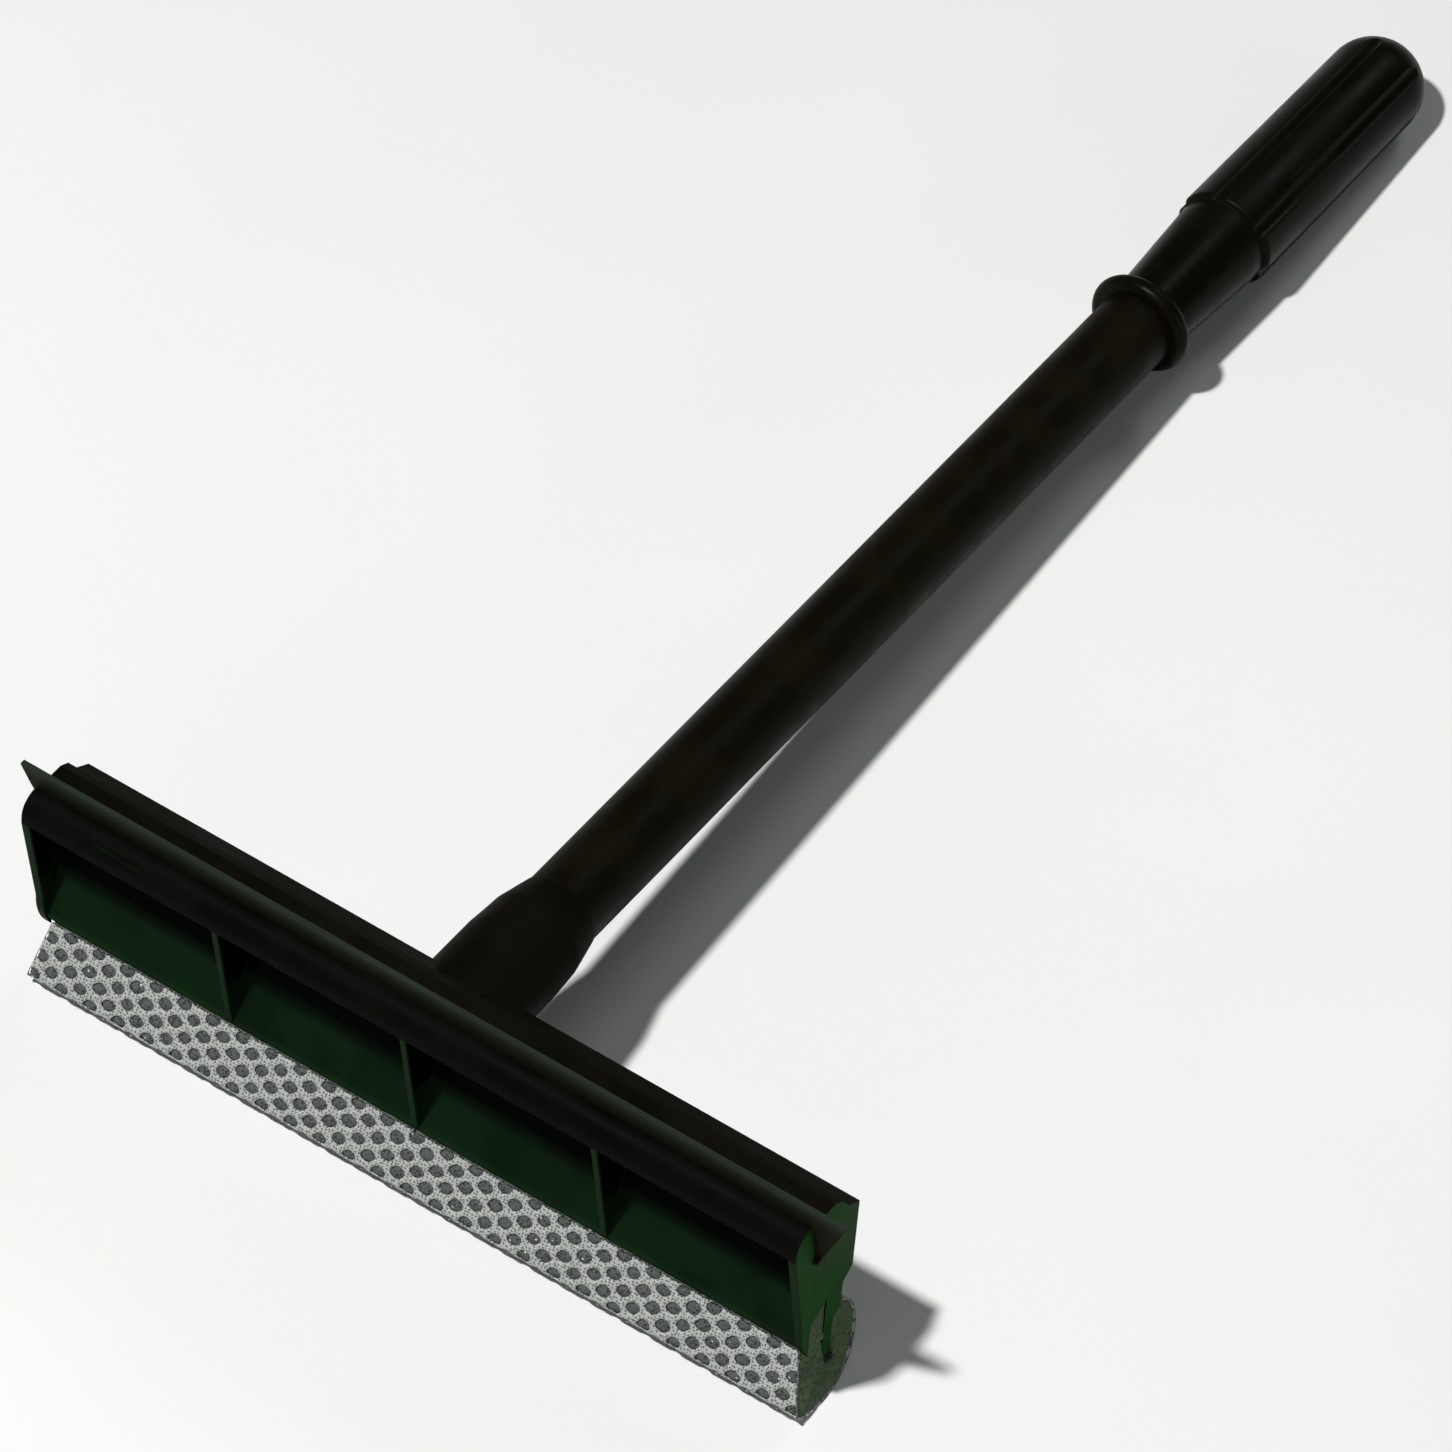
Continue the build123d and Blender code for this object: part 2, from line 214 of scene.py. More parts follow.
class Effects:
    """The shader groups that several finishes share, each built once."""

    def __init__(self) -> None:
        """Build every group."""
        self.grain = self.build_grain()
        self.edge = self.build_edge()
        self.scuff = self.build_scuff()
        self.pores = self.build_pores()

    @staticmethod
    def build_grain() -> bpy.types.NodeTree:
        """Fine moulded grain: two octaves of noise, and a broad uneven sheen.

        Returns:
            The group, with outputs Height and Sheen.
        """
        graph, given, result = open_group(
            "moulded_grain",
            {"Vector": "NodeSocketVector", "Fineness": 2500.0, "Breadth": 60.0},
            {"Height": "NodeSocketFloat", "Sheen": "NodeSocketFloat"},
        )
        fine = graph.add("TexNoise", {
            "Vector": given["Vector"], "Scale": given["Fineness"], "Detail": 2.0, "Roughness": 0.6,
        })
        broad = graph.add("TexNoise", {
            "Vector": given["Vector"], "Scale": given["Breadth"], "Detail": 3.0, "Roughness": 0.55,
        })
        graph.feed(result, {"Height": fine.outputs["Fac"]})
        sheen = graph.ramp(broad.outputs["Fac"], 0.3, 0.7)
        graph.feed(result, {"Sheen": sheen})
        return graph.tree

    @staticmethod
    def build_edge() -> bpy.types.NodeTree:
        """Rounded edges, and a paler painted highlight with some rub along them.

        The mask is one less the dot product of the rounded and the true normal, broken up
        by noise, so it is 0 on flat faces and rises towards an edge.

        Returns:
            The group, with outputs Mask and Normal.
        """
        graph, given, result = open_group(
            "edge_highlight_and_rub",
            {"Vector": "NodeSocketVector", "Radius": 0.0004, "Patchiness": 180.0},
            {"Mask": "NodeSocketFloat", "Normal": "NodeSocketVector"},
        )
        rounded = graph.add("Bevel", {"Radius": given["Radius"]}, samples=6)
        true = graph.add("NewGeometry")
        dot = graph.add("VectorMath", {
            0: rounded.outputs["Normal"], 1: true.outputs["Normal"],
        }, operation="DOT_PRODUCT")
        bend = graph.math("SUBTRACT", 1.0, dot.outputs["Value"])
        patches = graph.add("TexNoise", {
            "Vector": given["Vector"], "Scale": given["Patchiness"], "Detail": 4.0,
        })
        wear_and_highlight = graph.ramp(bend, 0.01, 0.16)
        uneven = graph.ramp(patches.outputs["Fac"], 0.25, 0.65, 0.35, 1.0)
        mask = graph.math("MULTIPLY", wear_and_highlight, uneven)
        graph.feed(result, {"Mask": mask, "Normal": rounded.outputs["Normal"]})
        return graph.tree

    @staticmethod
    def build_scuff() -> bpy.types.NodeTree:
        """Fine scratches: noise drawn out along one direction and cut to thin ridges.

        Returns:
            The group, with the output Mask.
        """
        graph, given, result = open_group(
            "drawn_scuff",
            {"Vector": "NodeSocketVector", "Turn": "NodeSocketVector",
             "Stretch": "NodeSocketVector", "Cover": 0.5},
            {"Mask": "NodeSocketFloat"},
        )
        turned = graph.add("VectorRotate", {
            "Vector": given["Vector"], "Rotation": given["Turn"],
        }, rotation_type="EULER_XYZ")
        drawn = graph.add("VectorMath", {
            0: turned.outputs["Vector"], 1: given["Stretch"],
        }, operation="MULTIPLY")
        lines = graph.add("TexNoise", {
            "Vector": drawn.outputs["Vector"], "Scale": 1.0, "Detail": 3.0,
        })
        where = graph.add("TexNoise", {"Vector": given["Vector"], "Scale": 45.0, "Detail": 2.0})
        ridge = graph.ramp(lines.outputs["Fac"], 0.55, 0.72)
        zone = graph.ramp(where.outputs["Fac"], given["Cover"], 0.75)
        mask = graph.math("MULTIPLY", ridge, zone)
        graph.feed(result, {"Mask": mask})
        return graph.tree

    @staticmethod
    def build_pores() -> bpy.types.NodeTree:
        """Open cells: the distance from the middle of each cell, at two sizes.

        Returns:
            The group, with outputs Depth, 1 in the middle of a pore, and Tone.
        """
        graph, given, result = open_group(
            "open_cells",
            {"Vector": "NodeSocketVector", "Fineness": 1200.0},
            {"Depth": "NodeSocketFloat", "Tone": "NodeSocketFloat"},
        )
        large = graph.add("TexVoronoi", {"Vector": given["Vector"], "Scale": given["Fineness"]})
        finer = graph.math("MULTIPLY", given["Fineness"], 2.3)
        small = graph.add("TexVoronoi", {"Vector": given["Vector"], "Scale": finer})
        big_pore = graph.ramp(large.outputs["Distance"], 0.1, 0.5, 1.0, 0.0)
        small_pore = graph.ramp(small.outputs["Distance"], 0.1, 0.5, 0.6, 0.0)
        depth = graph.math("MAXIMUM", big_pore, small_pore)
        cloud = graph.add("TexNoise", {"Vector": given["Vector"], "Scale": 140.0, "Detail": 4.0})
        graph.feed(result, {"Depth": depth, "Tone": cloud.outputs["Fac"]})
        return graph.tree


def new_material(name: str) -> tuple[bpy.types.Material, Graph, bpy.types.Node]:
    """Make an empty material with one Principled shader.

    Args:
        name: the material's name.

    Returns:
        The material, its graph and the shader's node.
    """
    material = bpy.data.materials.new(name)
    material.use_nodes = True
    graph = Graph(material.node_tree)
    graph.tree.nodes.clear()
    shader = graph.add("BsdfPrincipled")
    output = graph.add("OutputMaterial")
    graph.tree.links.new(shader.outputs["BSDF"], output.inputs["Surface"])
    return material, graph, shader


Colour = tuple[float, float, float, float]


@dataclass(frozen=True)
class MouldedPlastic:
    """Black plastic with a fine grain, softened edges, a paler painted highlight with some rub on
    its corners, and light scuffs.
    """

    name: str
    base: Colour
    wear_and_highlight: Colour
    gloss: float = 0.01
    smooth: float = 0.4
    rough: float = 0.55
    fineness: float = 2600.0
    grain: float = 0.12
    edge_radius: float = 0.0005
    edge_rub_and_highlight: float = 0.7
    scuff: float = 0.25
    scratch_dulling: float = 0.3
    stretch: tuple[float, float, float] = (900.0, 60.0, 900.0)
    turn: tuple[float, float, float] = (0.0, 0.0, 0.0)

    def ground(self, graph: Graph, place: bpy.types.NodeSocket) -> object:
        """The colour under the scuffs and the painted edge highlight, the same all over.

        Args:
            graph: the material's graph.
            place: the object coordinates' socket.

        Returns:
            A colour or a socket.
        """
        return self.base

    def material(self, effects: Effects, painted_end_light: tuple[float, float, Colour] | None = None
                 ) -> bpy.types.Material:
        """Build the finish.

        Args:
            effects: the shared shader groups.
            painted_end_light: the middle of the head along X, the half length past which its end
                faces show a painted green light, and that colour.

        Returns:
            The material.
        """
        material, graph, shader = new_material(self.name)
        place = graph.add("TexCoord").outputs["Object"]
        grain = graph.group(effects.grain, {"Vector": place, "Fineness": self.fineness})
        edge = graph.group(effects.edge, {"Vector": place, "Radius": self.edge_radius})
        scuff = graph.group(effects.scuff, {
            "Vector": place, "Turn": self.turn, "Stretch": self.stretch,
        })
        base = self.ground(graph, place)
        # painted light: the head's end faces take a green that stands in for green light from the
        # right
        if painted_end_light:
            middle, half, colour = painted_end_light
            across = graph.add("SeparateXYZ", {0: place}).outputs["X"]
            out = graph.math("ABSOLUTE", graph.math("SUBTRACT", across, middle))
            base = graph.blend(graph.ramp(out, half - 0.0001, half), base, colour)
        # painted highlight: edges are painted paler, with some rub, where the rounded normal bends
        # away from the true one
        rub_and_highlight = graph.math("MULTIPLY", edge.outputs["Mask"], self.edge_rub_and_highlight)
        scratched = graph.math("MULTIPLY", scuff.outputs["Mask"], self.scuff)
        highlight_and_scratch = graph.math("MAXIMUM", rub_and_highlight, scratched)
        colour = graph.blend(highlight_and_scratch, base, self.wear_and_highlight)
        shade = graph.ramp(grain.outputs["Sheen"], 0.0, 1.0, 0.8, 1.2)
        rough = graph.ramp(grain.outputs["Sheen"], 0.0, 1.0, self.smooth, self.rough)
        duller = graph.add("Math", {0: scratched, 1: self.scratch_dulling, 2: rough},
                           operation="MULTIPLY_ADD").outputs[0]
        bump = graph.add("Bump", {
            "Strength": self.grain, "Distance": 0.00008,
            "Height": grain.outputs["Height"], "Normal": edge.outputs["Normal"],
        })
        graph.feed(shader, {
            "Base Color": graph.scaled(colour, shade),
            "Roughness": duller,
            "Normal": bump.outputs["Normal"],
            "Specular IOR Level": self.gloss,
        })
        return material


@dataclass(frozen=True)
class FrontPlastic(MouldedPlastic):
    """The front frame's plastic: neutral on the jaw, with a paler green painted highlight on the
    open edges of the ribs.

    A painted shadow, near-black, darkens the pockets' tops under the jaw. The zones are measured as
    distances
    along fixed directions: up the head, and back from the leaning plane of the ribs' edges.
    """

    jaw: Colour = (0.0027, 0.0031, 0.0026, 1.0)
    # painted highlight: the ribs' open front edges are painted a paler green
    rib_edge_highlight: Colour = (0.0062, 0.019, 0.0062, 1.0)
    # painted shadow: the jaw's shadow on the pockets' tops, painted near-black
    painted_shadow: Colour = (0.0008, 0.0011, 0.0016, 1.0)
    shadow_depth: float = 0.0208
    up: tuple[float, float, float] = (0.0, 0.0, 1.0)
    jaw_level: float = 0.0
    back: tuple[float, float, float] = (0.0, 1.0, 0.0)
    face_level: float = 0.0

    def ground(self, graph: Graph, place: bpy.types.NodeSocket) -> object:
        """The colour under the scuffs and painted edge highlight: a paler painted highlight on the
        rib edges at the face plane, a painted shadow over the pockets' tops, the jaw above its
        level.

        Args:
            graph: the material's graph.
            place: the object coordinates' socket.

        Returns:
            The colour's socket.
        """
        high = graph.add("VectorMath", {0: place, 1: self.up}, operation="DOT_PRODUCT")
        deep = graph.add("VectorMath", {0: place, 1: self.back}, operation="DOT_PRODUCT")
        # painted highlight: points on the face plane of the ribs' edges take the paler green
        near = graph.ramp(deep.outputs["Value"], self.face_level + 0.0002,
                          self.face_level + 0.0009, 1.0, 0.0)
        above = graph.ramp(high.outputs["Value"], self.jaw_level - 0.0006, self.jaw_level)
        # painted shadow: the pocket wall is painted near-black from the jaw level down to the
        # shadow's edge
        foot = self.jaw_level - self.shadow_depth
        shadow_share = graph.ramp(high.outputs["Value"], foot - 0.0009, foot + 0.0009)
        wall = graph.blend(shadow_share, self.base, self.painted_shadow)
        recess = graph.blend(near, wall, self.rib_edge_highlight)
        return graph.blend(above, recess, self.jaw)


@dataclass(frozen=True)
class BladeRubber:
    """Matte dark rubber, painted paler towards the wiping edge as a painted sheen, with a painted
    edge highlight and faint lines along it.
    """

    name: str = "blade_rubber"
    base: Colour = (0.0115, 0.0108, 0.0062, 1.0)
    edge: Colour = (0.02, 0.029, 0.021, 1.0)
    gloss: float = 0.02

    def material(self, effects: Effects, foot: np.ndarray, reach: np.ndarray, height: float
                 ) -> bpy.types.Material:
        """Build the finish.

        Args:
            effects: the shared shader groups.
            foot: the point at the blade's base, in metres.
            reach: the unit direction from the base to the wiping edge.
            height: the distance from the base to the wiping edge, in metres.

        Returns:
            The material.
        """
        material, graph, shader = new_material(self.name)
        place = graph.add("TexCoord").outputs["Object"]
        along = graph.add("VectorMath", {0: place, 1: Vector(reach)}, operation="DOT_PRODUCT")
        up = graph.math("SUBTRACT", along.outputs["Value"], float(foot @ reach))
        # painted sheen: the rubber is painted paler over the last quarter of its height, towards
        # the wiping edge
        towards = graph.ramp(up, height * 0.74, height * 0.99)
        drawn = graph.add("VectorMath", {0: place, 1: (25.0, 900.0, 900.0)}, operation="MULTIPLY")
        lines = graph.add("TexNoise", {"Vector": drawn.outputs[0], "Scale": 1.0, "Detail": 4.0})
        uneven = graph.ramp(lines.outputs["Fac"], 0.3, 0.7, 0.55, 1.0)
        share = graph.math("MULTIPLY", graph.math("POWER", towards, 2.2), uneven)
        colour = graph.blend(share, self.base, self.edge)
        edge = graph.group(effects.edge, {"Vector": place, "Radius": 0.00035})
        # painted highlight: the blade's edges are painted paler
        paler = graph.blend(graph.math("MULTIPLY", edge.outputs["Mask"], 0.55), colour, self.edge)
        rough = graph.ramp(lines.outputs["Fac"], 0.3, 0.7, 0.42, 0.6)
        grain = graph.group(effects.grain, {"Vector": place, "Fineness": 3500.0})
        bump = graph.add("Bump", {
            "Strength": 0.1, "Distance": 0.00005,
            "Height": grain.outputs["Height"], "Normal": edge.outputs["Normal"],
        })
        graph.feed(shader, {
            "Base Color": paler,
            "Roughness": rough,
            "Normal": bump.outputs["Normal"],
            "Specular IOR Level": self.gloss,
        })
        return material


@dataclass(frozen=True)
class SpongeFoam:
    """Open-cell foam: green with painted white glints under the net, greyer on cut ends, with
    painted shade deep in its pores.
    """

    name: str = "sponge_foam"
    wall: Colour = (0.062, 0.094, 0.046, 1.0)
    pore: Colour = (0.024, 0.036, 0.018, 1.0)
    glint: Colour = (0.7, 0.74, 0.74, 1.0)
    end_colour_and_light: Colour = (0.064, 0.073, 0.07, 1.0)
    gloss: float = 0.3

    def material(self, effects: Effects) -> bpy.types.Material:
        """Build the finish.

        Args:
            effects: the shared shader groups.

        Returns:
            The material.
        """
        material, graph, shader = new_material(self.name)
        place = graph.add("TexCoord").outputs["Object"]
        cells = graph.group(effects.pores, {"Vector": place, "Fineness": 1100.0})
        # painted shade: the pores are painted darker towards their middles
        foam = graph.blend(cells.outputs["Depth"], self.wall, self.pore)
        shade = graph.ramp(cells.outputs["Tone"], 0.3, 0.7, 0.75, 1.25)
        # painted glint: a few spots under the net are painted near-white; their low roughness is
        # real gloss
        glint_cells = graph.add("TexVoronoi", {"Vector": place, "Scale": 520.0})
        chosen = graph.add("SeparateColor", {0: glint_cells.outputs["Color"]}).outputs["Red"]
        some = graph.math("GREATER_THAN", chosen, 0.66)
        near = graph.ramp(glint_cells.outputs["Distance"], 0.08, 0.19, 1.0, 0.0)
        sides = graph.add("SeparateXYZ", {0: graph.add("NewGeometry").outputs["Normal"]})
        end = graph.ramp(graph.math("ABSOLUTE", sides.outputs["X"]), 0.55, 0.85)
        netted = graph.math("SUBTRACT", 1.0, end)
        painted_glint = graph.math("MULTIPLY", graph.math("MULTIPLY", some, near), netted)
        # painted shade: on the cut ends the pores are painted darker and the cell walls lighter
        pore_shading = graph.ramp(cells.outputs["Depth"], 0.0, 1.0, 1.5, 0.45)
        shaded_end = graph.scaled(self.end_colour_and_light[:3], pore_shading)
        body = graph.blend(end, shaded_end, graph.scaled(foam, shade))
        colour = graph.blend(painted_glint, body, self.glint)
        rough = graph.ramp(painted_glint, 0.0, 1.0, 0.92, 0.15)
        lifted = graph.math("SUBTRACT", 1.0, cells.outputs["Depth"])
        bump = graph.add("Bump", {"Strength": 0.8, "Distance": 0.0004, "Height": lifted})
        graph.feed(shader, {
            "Base Color": colour,
            "Roughness": rough,
            "Normal": bump.outputs["Normal"],
            "Specular IOR Level": self.gloss,
        })
        return material


@dataclass(frozen=True)
class NetYarn:
    """White knitted yarn with pinholes between its loops and a little painted shade in its folds.
    """

    name: str = "net_nylon"
    yarn: Colour = (0.5, 0.525, 0.505, 1.0)
    shade: Colour = (0.15, 0.17, 0.16, 1.0)
    pinhole: Colour = (0.07, 0.08, 0.08, 1.0)
    sheen: float = 0.15

    def material(self, effects: Effects) -> bpy.types.Material:
        """Build the finish on the net's own map, which holds centimetres along the net.

        Args:
            effects: the shared shader groups.

        Returns:
            The material.
        """
        material, graph, shader = new_material(self.name)
        place = graph.add("UVMap", uv_map="weave").outputs["UV"]
        body = graph.add("TexCoord").outputs["Object"]
        dots = graph.add("TexVoronoi", {"Vector": place, "Scale": 11.0, "Randomness": 0.55},
                         voronoi_dimensions="2D")
        hole = graph.ramp(dots.outputs["Distance"], 0.17, 0.36, 1.0, 0.0)
        loops = graph.add("TexWave", {
            "Vector": place, "Scale": 9.0, "Distortion": 5.0, "Detail": 2.0, "Detail Scale": 4.0,
        }, bands_direction="DIAGONAL")
        fibre = graph.add("TexNoise", {"Vector": body, "Scale": 2600.0, "Detail": 3.0})
        # painted shade: the yarn is painted grey in the knit's folds
        fold = graph.ramp(loops.outputs["Fac"], 0.0, 0.6, 0.55, 0.0)
        yarn = graph.blend(fold, self.yarn, self.shade)
        colour = graph.blend(graph.math("MULTIPLY", hole, 0.92), yarn, self.pinhole)
        height = graph.math("SUBTRACT", loops.outputs["Fac"], graph.math("MULTIPLY", hole, 1.4))
        ridges = graph.math("ADD", height, graph.math("MULTIPLY", fibre.outputs["Fac"], 0.5))
        bump = graph.add("Bump", {"Strength": 0.55, "Distance": 0.00015, "Height": ridges})
        rough = graph.ramp(fibre.outputs["Fac"], 0.3, 0.7, 0.5, 0.75)
        graph.feed(shader, {
            "Base Color": colour,
            "Roughness": rough,
            "Normal": bump.outputs["Normal"],
            "Sheen Weight": self.sheen,
        })
        return material


@dataclass(frozen=True)
class FloorPaint:
    """Plain pale floor, very slightly mottled."""

    name: str = "pale_floor"
    base: Colour = (0.84, 0.84, 0.84, 1.0)
    cooler: Colour = (0.81, 0.815, 0.82, 1.0)
    roughness: float = 0.85

    def material(self) -> bpy.types.Material:
        """Build the finish.

        Returns:
            The material.
        """
        material, graph, shader = new_material(self.name)
        place = graph.add("TexCoord").outputs["Object"]
        mottle = graph.add("TexNoise", {"Vector": place, "Scale": 3.0, "Detail": 4.0})
        share = graph.ramp(mottle.outputs["Fac"], 0.35, 0.65)
        graph.feed(shader, {
            "Base Color": graph.blend(share, self.base, self.cooler),
            "Roughness": self.roughness,
        })
        return material


# ---------------------------------------------------------------- shapes


@dataclass(frozen=True)
class HeadAxes:
    """The axes that the head is drawn on: x along it, h along the handle, n up."""

    origin: np.ndarray
    along: np.ndarray
    upright: np.ndarray

    @classmethod
    def from_record(cls, record: dict) -> "HeadAxes":
        """Read the handle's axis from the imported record.

        Args:
            record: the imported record, whose mount tube_shaft lies on the handle's axis.

        Returns:
            The axes.
        """
        mount = next(m for m in record["mounts"] if m["name"] == "tube_shaft")
        along = np.array(mount["axis"], float)
        along /= np.linalg.norm(along)
        origin = np.array(mount["pos_m"], float) - SHAFT_STATION * MM * along
        return cls(origin, along, np.cross((1.0, 0.0, 0.0), along))

    def place(self, x: np.ndarray, h: np.ndarray, n: np.ndarray) -> np.ndarray:
        """Turn head millimetres into row metres: origin + x X + h along + n upright.

        Args:
            x: distances along the head.
            h: distances along the handle.
            n: distances up towards the blade.

        Returns:
            An array of points, one row each.
        """
        flat = np.stack([np.ravel(x), np.ravel(h), np.ravel(n)], axis=1) * MM
        axes = np.array([(1.0, 0.0, 0.0), self.along, self.upright])
        return self.origin + flat @ axes

    def measure(self, points: np.ndarray) -> np.ndarray:
        """Turn row metres back into head millimetres.

        Args:
            points: an array of points in the row frame.

        Returns:
            Columns x, h and n.
        """
        axes = np.array([(1.0, 0.0, 0.0), self.along, self.upright])
        return (points - self.origin) @ axes.T / MM


def lattice_noise(points: np.ndarray, seed: int) -> np.ndarray:
    """Smooth value noise: a hashed number at each whole corner, eased between them.

    Args:
        points: three columns, in cells.
        seed: an offset for the hash.

    Returns:
        One number from -1 to 1 for each point.
    """
    corner = np.floor(points).astype(np.int64)
    part = points - corner
    ease = part * part * (3 - 2 * part)
    total = np.zeros(len(points))
    for step in np.ndindex(2, 2, 2):
        at = corner + step
        mixed = (at[:, 0] * 73856093) ^ (at[:, 1] * 19349663) ^ (at[:, 2] * 83492791)
        mixed = (mixed ^ (seed * 2654435761)) & 0xFFFFFFFF
        mixed = ((mixed ^ (mixed >> 13)) * 1274126177) & 0xFFFFFFFF
        value = ((mixed >> 8) & 0xFFFF) / 32767.5 - 1
        total += value * np.prod(np.where(step, ease, 1 - ease), axis=1)
    return total


def arc(start: tuple, middle: tuple, end: tuple, count: int) -> np.ndarray:
    """Points on the circle through three points, from the first to the last.

    Args:
        start: the arc's first point.
        middle: a point it passes.
        end: its last point.
        count: how many points.

    Returns:
        The points, one row each.
    """
    a, b, c = (np.array(p, float) for p in (start, middle, end))
    system = 2 * np.array([b - a, c - a])
    centre = np.linalg.solve(system, [b @ b - a @ a, c @ c - a @ a])
    angles = [np.arctan2(*(p - centre)[::-1]) for p in (a, b, c)]
    bend = np.unwrap(angles)
    turn = np.linspace(bend[0], bend[2], count)
    radius = np.linalg.norm(a - centre)
    return centre + radius * np.stack([np.cos(turn), np.sin(turn)], axis=1)


def mesh_piece(name: str, points: np.ndarray, faces: np.ndarray, weld: float = 1e-6
               ) -> bpy.types.Object:
    """Make a mesh object from arrays, weld its seams and smooth its shading.

    Args:
        name: the piece's name.
        points: its points in the row frame, in metres.
        faces: its faces, one row each.
        weld: the distance within which points are merged.

    Returns:
        The new object, at the origin.
    """
    mesh = bpy.data.meshes.new(name)
    mesh.from_pydata(points.tolist(), [], faces.tolist())
    work = bmesh.new()
    work.from_mesh(mesh)
    bmesh.ops.remove_doubles(work, verts=work.verts, dist=weld)
    bmesh.ops.dissolve_degenerate(work, edges=work.edges, dist=weld)
    work.to_mesh(mesh)
    work.free()
    mesh.shade_smooth()
    piece = bpy.data.objects.new(name, mesh)
    bpy.context.scene.collection.objects.link(piece)
    return piece


@dataclass(frozen=True)
class PadSection:
    """The sponge's section: the line that the net covers, and the part that is clamped."""

    net_start: tuple = (-16.9, -25.1)
    front_foot: tuple = (-20.9, -39.7)
    corner_middle: tuple = (-20.4, -41.4)
    corner_end: tuple = (-18.6, -42.3)
    bottom_middle: tuple = (-12.8, -43.2)
    bottom_end: tuple = (-7.6, -42.7)
    back_middle: tuple = (-1.0, -38.6)
    back_end: tuple = (2.4, -32.0)
    lobe_middle: tuple = (1.6, -26.2)
    lobe_end: tuple = (-3.3, -23.0)
    clamped: tuple = ((-6.2, -24.1), (-6.2, -35.8), (-9.15, -35.8), (-9.15, -14.9),
                      (-12.0, -14.9), (-14.8, -25.2))
    leg_end: tuple = ((-14.95, -18.4), (-14.95, -27.0), (-8.9, -27.0), (-8.9, -14.8))
    tongue: tuple[float, float, float] = (-9.42, -5.98, -36.02)
    leg_from: float = 98.5
    leg_to: float = 100.05
    half_top: float = 99.0
    half_bottom: float = 103.4
    slant_top: float = -24.0
    slant_bottom: float = -43.9
    middle_x: float = 1.4

    def covered(self) -> np.ndarray:
        """Points of the covered line, about a quarter of a millimetre apart.

        Returns:
            Columns h and n.
        """
        share = np.linspace(0, 1, 60)[:, None]
        front = np.array(self.net_start) * (1 - share) + np.array(self.front_foot) * share
        parts = [
            front,
            arc(self.front_foot, self.corner_middle, self.corner_end, 16),
            arc(self.corner_end, self.bottom_middle, self.bottom_end, 44),
            arc(self.bottom_end, self.back_middle, self.back_end, 60),
            arc(self.back_end, self.lobe_middle, self.lobe_end, 48),
        ]
        return np.concatenate([parts[0], *[p[1:] for p in parts[1:]]])

    def clear_of_tongue(self, h: np.ndarray, n: np.ndarray) -> tuple[np.ndarray, np.ndarray]:
        """Move the points that lie inside the tongue onto the nearest of its three faces.

        Args:
            h: distances along the handle.
            n: heights.

        Returns:
            The h and n of the moved points.
        """
        front, back, foot = self.tongue
        inside = (h > front) & (h < back) & (n > foot)
        nearest = np.argmin([h - front, back - h, n - foot], axis=0)
        moved_h = np.where(nearest == 0, front, np.where(nearest == 1, back, h))
        moved_n = np.where(nearest == 2, foot, n)
        return np.where(inside, moved_h, h), np.where(inside, moved_n, n)

    def half_length(self, n: np.ndarray) -> np.ndarray:
        """Half the sponge's length at a height: level, then growing along the slanting cut.

        Args:
            n: heights in head millimetres.

        Returns:
            Half lengths in millimetres.
        """
        share = np.clip((self.slant_top - n) / (self.slant_top - self.slant_bottom), 0, 1)
        return self.half_top + share * (self.half_bottom - self.half_top)


class CoveredLine:
    """The covered line by arc length, with the direction that faces away from the foam."""

    def __init__(self, section: PadSection) -> None:
        """Measure the line.

        Args:
            section: the sponge's section.
        """
        self.points = section.covered()
        steps = np.linalg.norm(np.diff(self.points, axis=0), axis=1)
        self.reach = np.concatenate([[0], np.cumsum(steps)])
        self.length = float(self.reach[-1])
        tangent = np.gradient(self.points, self.reach, axis=0)
        kernel = np.ones(9) / 9
        padded = np.pad(tangent, ((4, 4), (0, 0)), mode="edge")
        smooth = np.stack([np.convolve(padded[:, k], kernel, "valid") for k in (0, 1)], axis=1)
        smooth /= np.linalg.norm(smooth, axis=1)[:, None]
        self.away = np.stack([smooth[:, 1], -smooth[:, 0]], axis=1)

    def at(self, v: np.ndarray, lift: np.ndarray) -> tuple[np.ndarray, np.ndarray]:
        """Points at arc length v, lifted off the line: line(v) + lift away(v).

        Args:
            v: arc lengths in millimetres.
            lift: distances off the line.

        Returns:
            Their h and their n.
        """
        v = np.clip(v, 0, self.length)
        both = []
        for k in (0, 1):
            line = np.interp(v, self.reach, self.points[:, k])
            away = np.interp(v, self.reach, self.away[:, k])
            both.append(line + lift * away)
        return both[0], both[1]

    def nearest(self, h: np.ndarray, n: np.ndarray) -> tuple[np.ndarray, np.ndarray]:
        """The arc length of the line's nearest point, and how far away it is.

        Args:
            h: distances along the handle.
            n: heights.

        Returns:
            Arc lengths and distances in millimetres.
        """
        fine = np.linspace(0, self.length, 420)
        line_h, line_n = self.at(fine, np.zeros_like(fine))
        best = np.full(len(h), np.inf)
        where = np.zeros(len(h))
        for value, a, b in zip(fine, line_h, line_n):
            gap = np.hypot(h - a, n - b)
            closer = gap < best
            best[closer] = gap[closer]
            where[closer] = value
        return where, best


